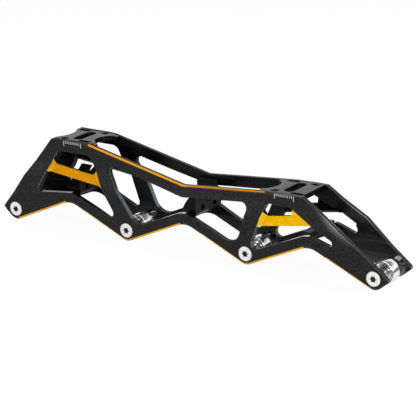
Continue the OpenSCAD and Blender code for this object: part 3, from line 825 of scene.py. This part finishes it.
class SKATEFRAME_OT_scales(bpy.types.Operator):
    """Printed scales on the outer faces beside the boot slots"""

    bl_idname = "skateframe.scales"
    bl_label = "Print the scales"

    middles = {"rear_mount_deck": -105.5 * MM, "front_mount_deck": 89.3 * MM}
    proud = 0.03 * MM
    under_edge = 0.35 * MM

    def execute(self, context):
        marks = context.scene.skate_frame_scale
        ink = ink_finish("printed_white", marks)
        for deck, middle in self.middles.items():
            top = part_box(deck)[1].z - self.under_edge
            for wall, side in (("right", -1), ("left", 1)):
                mesh = self.scale(marks, middle, side, top)
                finished(mesh, f"{wall}_{deck.split('_')[0]}_scale", ink, "frame")
        return {"FINISHED"}

    def scale(self, marks, middle, side, top):
        """A row of marks, the first and the last one long."""
        mesh = bmesh.new()
        last = marks.ticks - 1
        for i in range(marks.ticks):
            size = marks.long if i in (0, last) else marks.short
            self.tick(mesh, marks.width, middle + (i - last / 2) * marks.pitch, side, top, size)
        return mesh

    def tick(self, mesh, width, x, side, top, size):
        """One mark: a thin plate of ink on the outer face, down from the top edge."""
        made = bmesh.ops.create_grid(mesh, x_segments=1, y_segments=4, size=0.5)["verts"]
        bmesh.ops.transform(mesh, verts=made, matrix=(
            Matrix.Translation((x, side * (WALL_OUTSIDE + self.proud), top - size / 2))
            @ Matrix.Rotation(math.radians(-90 if side > 0 else 90), 4, "X")
            @ Matrix.Diagonal((width, size, 1, 1))))
        faces = list({f for v in made for f in v.link_faces})
        bmesh.ops.solidify(mesh, geom=faces, thickness=self.proud)


class SKATEFRAME_OT_stage(bpy.types.Operator):
    """Pale floor, soft lamps, white surroundings and the camera"""

    bl_idname = "skateframe.stage"
    bl_label = "Set the stage"

    # Name, place, aim, width, height and power
    lamps = (
        ("lamp_over", (0.10, 0.25, 1.10), (0, 0, 0.03), 1.1, 0.8, 9.0),
        ("lamp_right", (1.00, -0.60, 0.75), (0.05, 0, 0.03), 0.5, 0.6, 5.0),
        ("lamp_left", (-0.85, -0.80, 0.70), (-0.05, 0, 0.03), 0.6, 0.6, 4.5),
    )
    white = (1, 1, 1)
    soft_light = 0.45

    # The floor, and how bright it shows in gloss: dim on the camera's side and beyond the frame
    floor_reach = 6.0
    floor_drop = 0.2 * MM
    floor_grey = (0.86, 0.86, 0.86)
    floor_white = 0.95
    floor_fade = (-0.030, -0.006)
    floor_in_gloss = (0.30, 0.85)
    far_fade = (0.05, 0.10)
    far_in_gloss = (1.0, 0.12)

    # How bright the sky shows in gloss: dim high up, on the camera's side and low on the right
    sky_fade = (0.36, 0.62)
    sky_in_gloss = (1.0, 0.18)
    near_fade = (-0.35, 0.1)
    near_in_gloss = (0.32, 1.0)
    right_fade = (0.2, 0.45)
    low_fade = (0.06, 0.24)
    low_shade = (0.88, 0.0)

    sensor_width = 36
    clip = (0.05, 50)

    def execute(self, context):
        self.floor(context)
        self.surroundings(context)
        for name, place, aim, width, height, power in self.lamps:
            self.lamp(context, name, Vector(place), Vector(aim), width, height, power)
        self.camera(context, context.scene.skate_frame_stage)
        context.scene.view_settings.view_transform = "Standard"
        return {"FINISHED"}

    def floor(self, context):
        mesh = bmesh.new()
        bmesh.ops.create_grid(mesh, x_segments=2, y_segments=2, size=self.floor_reach)
        data = bpy.data.meshes.new("studio_floor")
        mesh.to_mesh(data)
        mesh.free()
        floor = bpy.data.objects.new("studio_floor", data)
        context.scene.collection.objects.link(floor)
        floor.location.z = -self.floor_drop
        pale = bpy.data.materials.new("pale_floor")
        pale.use_nodes = True
        made = Nodes(pale.node_tree)
        _, y, _ = made.parts(made.node("ShaderNodeTexCoord").outputs["Object"])
        gloss = made.product(made.ramp(y, *self.floor_fade, *self.floor_in_gloss),
                             made.ramp(y, *self.far_fade, *self.far_in_gloss))
        matt = made.fill(made.node("ShaderNodeBsdfDiffuse"), Color=self.floor_grey)
        white = made.fill(made.node("ShaderNodeEmission"), Strength=made.seen_white(gloss))
        seen = made.product(made.background_rays(), self.floor_white)
        made.surface("ShaderNodeOutputMaterial", seen, matt, white)
        data.materials.append(pale)

    def surroundings(self, context):
        world = bpy.data.worlds.new("studio")
        context.scene.world = world
        world.use_nodes = True
        made = Nodes(world.node_tree)
        x, y, z = made.parts(made.node("ShaderNodeTexCoord").outputs["Generated"])
        low = made.ramp(z, *self.low_fade, *self.low_shade)
        low_right = made.product(made.ramp(x, *self.right_fade), low)
        gloss = made.product(made.ramp(z, *self.sky_fade, *self.sky_in_gloss),
                             made.ramp(y, *self.near_fade, *self.near_in_gloss), made.without(low_right))
        soft = made.fill(made.node("ShaderNodeBackground"), Color=self.white, Strength=self.soft_light)
        sky = made.fill(made.node("ShaderNodeBackground"), Color=self.white, Strength=made.seen_white(gloss))
        made.surface("ShaderNodeOutputWorld", made.background_rays(), soft, sky)

    def lamp(self, context, name, place, aim, width, height, power):
        data = bpy.data.lights.new(name, "AREA")
        data.shape = "RECTANGLE"
        data.size = width
        data.size_y = height
        data.energy = power
        lamp = bpy.data.objects.new(name, data)
        context.scene.collection.objects.link(lamp)
        lamp.location = place
        lamp.rotation_euler = (aim - place).to_track_quat("-Z", "Y").to_euler()

    def camera(self, context, settings):
        data = bpy.data.cameras.new("photo_camera")
        data.sensor_width = self.sensor_width
        data.lens = settings.focal_pixels * data.sensor_width / PHOTO_SIDE
        data.clip_start, data.clip_end = self.clip
        camera = bpy.data.objects.new("photo_camera", data)
        context.scene.collection.objects.link(camera)
        flat = math.cos(settings.elevation)
        back = Vector((math.sin(settings.azimuth) * flat, -math.cos(settings.azimuth) * flat,
                       math.sin(settings.elevation)))
        camera.location = Vector(settings.aim) + back * settings.distance
        camera.rotation_mode = "QUATERNION"
        camera.rotation_quaternion = (-back).to_track_quat("-Z", "Y") @ Quaternion((0, 0, 1), -settings.roll)
        context.scene.camera = camera


OPERATORS = (SKATEFRAME_OT_chassis, SKATEFRAME_OT_decks, SKATEFRAME_OT_braces, SKATEFRAME_OT_axles,
             SKATEFRAME_OT_spacers, SKATEFRAME_OT_scales, SKATEFRAME_OT_stage)


class VIEW3D_PT_skate_frame(bpy.types.Panel):
    """Sidebar panel of the skate frame"""

    bl_label = "Skate frame"
    bl_space_type = "VIEW_3D"
    bl_region_type = "UI"
    bl_category = "Skate frame"

    def draw(self, context):
        for key in GROUPS:
            group = getattr(context.scene, key)
            column = self.layout.column()
            for setting in group.bl_rna.properties.keys():
                if setting not in ("rna_type", "name"):
                    column.prop(group, setting)
        for operator in OPERATORS:
            self.layout.operator(operator.bl_idname)


GROUPS = {"skate_frame_finish": SkateFrameFinish, "skate_frame_scale": SkateFrameScale,
          "skate_frame_stage": SkateFrameStage}


def register():
    for made in (*GROUPS.values(), *OPERATORS, VIEW3D_PT_skate_frame):
        bpy.utils.register_class(made)
    for key, group in GROUPS.items():
        setattr(bpy.types.Scene, key, PointerProperty(type=group))


def unregister():
    for key in GROUPS:
        delattr(bpy.types.Scene, key)
    for made in (VIEW3D_PT_skate_frame, *OPERATORS, *GROUPS.values()):
        bpy.utils.unregister_class(made)


def main():
    register()
    for name in ("chassis", "decks", "braces", "axles", "spacers", "scales", "stage"):
        getattr(bpy.ops.skateframe, name)()


if __name__ == "__main__":
    main()
